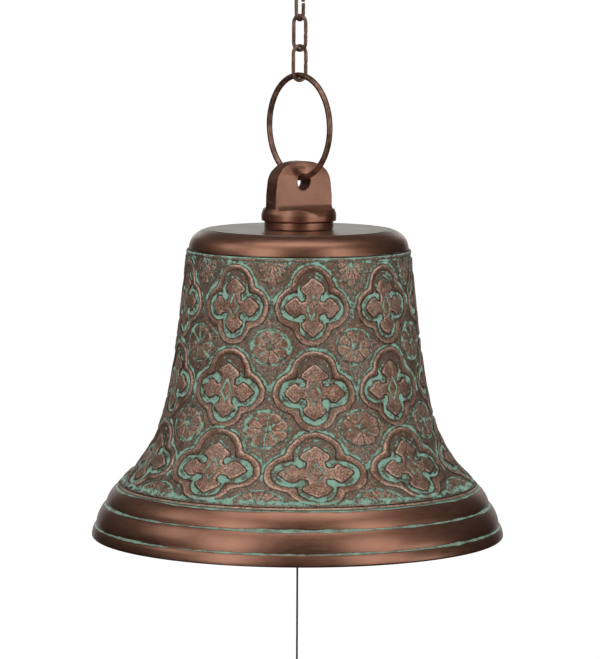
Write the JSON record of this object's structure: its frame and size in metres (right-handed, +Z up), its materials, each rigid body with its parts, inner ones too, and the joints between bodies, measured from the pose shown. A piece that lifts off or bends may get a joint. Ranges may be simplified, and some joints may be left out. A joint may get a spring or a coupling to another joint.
{
  "type": "hanging bell",
  "caption": "Flared bell with an embossed patinated waist and stepped lip, hung by a lug, ring, chain and S-hook, with a clapper on an eyebolt and a pull string.",
  "frame": {"origin": "saddle of the S-hook, the top inside of its upper bow, where it bears on whatever holds the bell up", "axes": "+Z up, along the hanging chain and the bell's axis; +X along the hanger lug's width; -Y out of the lug's broad front"},
  "size_m": [0.28, 0.28, 0.5584],
  "materials": {
    "copper": "satin antiqued copper plating on cast aluminium",
    "patina_copper": "embossed, antiqued copper plating with blue-green patina in the hollows",
    "bronze_wire": "steel wire with a satin dark copper plating",
    "steel": "zinc-plated, dull",
    "iron": "blackened, dull",
    "string": "twisted waxed cord"
  },
  "bodies": {
    "hook": {"s_hook": "bronze_wire"},
    "link_4": {"chain_link_4": "bronze_wire"},
    "link_3": {"chain_link_3": "bronze_wire"},
    "link_2": {"chain_link_2": "bronze_wire"},
    "link_1": {"chain_link_1": "bronze_wire"},
    "ring": {"hanging_ring": "bronze_wire"},
    "bell": {"crown_cap": "copper", "waist_shell": "patina_copper", "lip_ring": "copper", "hanger_lug": "copper", "lug_seat": "copper", "crown_washer": "steel", "lock_washer": "steel", "crown_nut": "steel", "clapper_eyebolt": "steel"},
    "clapper_ring": {"clapper_ring": "steel"},
    "clapper": {"clapper_rod": "iron", "clapper_nut": "steel", "clapper_ball": "iron", "clapper_tail_eye": "steel"},
    "pull": {"string_loop": "string", "string_knot": "string", "string": "string", "pull_drop": "copper", "string_end_knot": "string"}
  },
  "joints": [
    {"name": "link_4_swing", "type": "hinge", "parent": "hook", "child": "link_4", "pos_m": [0, 0, -0.04911], "axis": [0.866, 0.5, 0], "range_deg": [-20, 20]},
    {"name": "link_3_swing", "type": "hinge", "parent": "link_4", "child": "link_3", "pos_m": [0, 0, -0.06867], "axis": [0.5299, -0.848, 0], "range_deg": [-20, 20]},
    {"name": "link_2_swing", "type": "hinge", "parent": "link_3", "child": "link_2", "pos_m": [0, 0, -0.08897], "axis": [0.891, 0.454, 0], "range_deg": [-20, 20]},
    {"name": "link_1_swing", "type": "hinge", "parent": "link_2", "child": "link_1", "pos_m": [0, 0, -0.10927], "axis": [0.2588, -0.9659, 0], "range_deg": [-20, 20]},
    {"name": "ring_swing", "type": "hinge", "parent": "link_1", "child": "ring", "pos_m": [0, 0, -0.12957], "axis": [1, 0, 0], "range_deg": [-20, 20]},
    {"name": "bell_swing", "type": "hinge", "parent": "ring", "child": "bell", "pos_m": [0, 0, -0.19501], "axis": [0, 1, 0], "range_deg": [-30, 30]},
    {"name": "clapper_ring_swing", "type": "hinge", "parent": "bell", "child": "clapper_ring", "pos_m": [0, 0, -0.26952], "axis": [1, 0, 0], "range_deg": [-10, 10]},
    {"name": "clapper_swing", "type": "hinge", "parent": "clapper_ring", "child": "clapper", "pos_m": [0, 0, -0.28112], "axis": [0, 1, 0], "range_deg": [-34, 34]},
    {"name": "pull_swing", "type": "hinge", "parent": "clapper", "child": "pull", "pos_m": [0, 0, -0.45191], "axis": [1, 0, 0], "range_deg": [-40, 40]}
  ]
}
